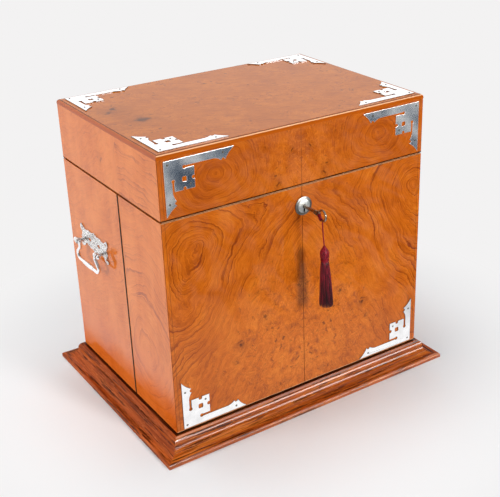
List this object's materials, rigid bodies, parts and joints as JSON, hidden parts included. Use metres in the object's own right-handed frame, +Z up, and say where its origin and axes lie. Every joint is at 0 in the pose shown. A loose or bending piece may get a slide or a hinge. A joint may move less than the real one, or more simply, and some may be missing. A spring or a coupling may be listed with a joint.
{
  "type": "tantalus",
  "caption": "Tantalus: a burr oak decanter box with a hinged lid, two deep front doors with glass trays, plated corner mounts, a keyed lock with tassel and side bail handles.",
  "frame": {"origin": "middle of the underside of the plinth, on the surface it stands on", "axes": "+X to the right as seen from the front, -Y toward the front, +Z up"},
  "size_m": [0.456, 0.3624, 0.4048],
  "materials": {
    "plinth_oak": "polished",
    "base_pine": "matte",
    "front_veneer": "polished",
    "side_veneer": "polished",
    "back_veneer": "polished",
    "top_veneer": "polished",
    "lining_cloth": "padded",
    "mount_plate": "plated",
    "mount_pin": "plated",
    "hinge_brass": "satin",
    "nozzle_metal": "plated",
    "lock_steel": "brushed",
    "key_steel": "polished",
    "handle_metal": "plated",
    "cord_silk": "twisted",
    "tassel_silk": "silk",
    "fitting_oak": "satin",
    "decanter_glass": "cut",
    "tumbler_glass": "clear"
  },
  "bodies": {
    "case": {"plinth_front": "plinth_oak", "plinth_back": "plinth_oak", "plinth_left": "plinth_oak", "plinth_right": "plinth_oak", "base_board": "base_pine", "case_left_side": "side_veneer", "case_right_side": "side_veneer", "case_back": "back_veneer", "lid_hinge_case_leaves": "hinge_brass", "left_hinge_case_leaf": "hinge_brass", "right_hinge_case_leaf": "hinge_brass", "left_handle_plate": "handle_metal", "right_handle_plate": "handle_metal", "decanter_platform": "fitting_oak", "decanter_rail": "fitting_oak", "left_decanter": "decanter_glass", "middle_decanter": "decanter_glass", "right_decanter": "decanter_glass"},
    "lid": {"lid_top": "top_veneer", "lid_front": "front_veneer", "lid_back": "back_veneer", "lid_left_side": "side_veneer", "lid_right_side": "side_veneer", "lid_lining": "lining_cloth", "lid_top_mounts": "mount_plate", "lid_front_mounts": "mount_plate", "lid_mount_pins": "mount_pin", "lid_hinge_lid_leaves": "hinge_brass", "lid_keeper": "lock_steel"},
    "left_door": {"left_door_front": "front_veneer", "left_door_side": "side_veneer", "left_door_floor": "fitting_oak", "left_glass_tray": "fitting_oak", "left_door_mount": "mount_plate", "left_door_mount_pins": "mount_pin", "left_hinge_door_leaf": "hinge_brass", "left_outer_tumbler": "tumbler_glass", "left_middle_tumbler": "tumbler_glass", "left_inner_tumbler": "tumbler_glass"},
    "right_door": {"right_door_front": "front_veneer", "right_door_side": "side_veneer", "right_door_floor": "fitting_oak", "right_glass_tray": "fitting_oak", "right_door_mount": "mount_plate", "right_door_mount_pins": "mount_pin", "right_hinge_door_leaf": "hinge_brass", "right_outer_tumbler": "tumbler_glass", "right_middle_tumbler": "tumbler_glass", "right_inner_tumbler": "tumbler_glass", "lock_escutcheon": "nozzle_metal", "lock_case": "lock_steel"},
    "lock_hook": {"lock_hook": "lock_steel"},
    "key": {"key": "key_steel"},
    "tassel": {"tassel_cord": "cord_silk", "tassel": "tassel_silk"},
    "left_handle_bail": {"left_handle_bail": "handle_metal"},
    "right_handle_bail": {"right_handle_bail": "handle_metal"},
    "left_stopper": {"left_stopper": "decanter_glass"},
    "middle_stopper": {"middle_stopper": "decanter_glass"},
    "right_stopper": {"right_stopper": "decanter_glass"}
  },
  "joints": [
    {"name": "lid_open", "type": "hinge", "parent": "case", "child": "lid", "pos_m": [0, 0.1442, 0.32105], "axis": [-1, 0, 0], "range_deg": [0, 95]},
    {"name": "left_door_open", "type": "hinge", "parent": "case", "child": "left_door", "pos_m": [-0.1988, -0.027, 0.1737], "axis": [0, 0, -1], "range_deg": [0, 110]},
    {"name": "right_door_open", "type": "hinge", "parent": "case", "child": "right_door", "pos_m": [0.1988, -0.027, 0.1737], "axis": [0, 0, 1], "range_deg": [0, 110]},
    {"name": "key_turn", "type": "hinge", "parent": "right_door", "child": "key", "pos_m": [0.0019, -0.142, 0.292], "axis": [0, -1, 0], "range_deg": [0, 90]},
    {"name": "lock_hook_swing", "type": "hinge", "parent": "right_door", "child": "lock_hook", "pos_m": [0.0259, -0.1255, 0.311], "axis": [0, -1, 0], "range_deg": [0, 75]},
    {"name": "tassel_hang", "type": "hinge", "parent": "key", "child": "tassel", "pos_m": [0.0019, -0.183, 0.285], "axis": [0, -1, 0], "range_deg": [-90, 0]},
    {"name": "left_bail_swing", "type": "hinge", "parent": "case", "child": "left_handle_bail", "pos_m": [-0.2125, 0.061, 0.217], "axis": [0, 1, 0], "range_deg": [-18, 198]},
    {"name": "right_bail_swing", "type": "hinge", "parent": "case", "child": "right_handle_bail", "pos_m": [0.2125, 0.061, 0.217], "axis": [0, -1, 0], "range_deg": [-18, 198]},
    {"name": "left_stopper_lift", "type": "slide", "parent": "case", "child": "left_stopper", "axis": [0, 0, 1], "range_m": [0, 0.045]},
    {"name": "middle_stopper_lift", "type": "slide", "parent": "case", "child": "middle_stopper", "axis": [0, 0, 1], "range_m": [0, 0.045]},
    {"name": "right_stopper_lift", "type": "slide", "parent": "case", "child": "right_stopper", "axis": [0, 0, 1], "range_m": [0, 0.045]}
  ],
  "couplings": [
    {"joint": "lock_hook_swing", "follows": "key_turn", "ratio": 0.83333},
    {"joint": "tassel_hang", "follows": "key_turn", "ratio": -1}
  ]
}
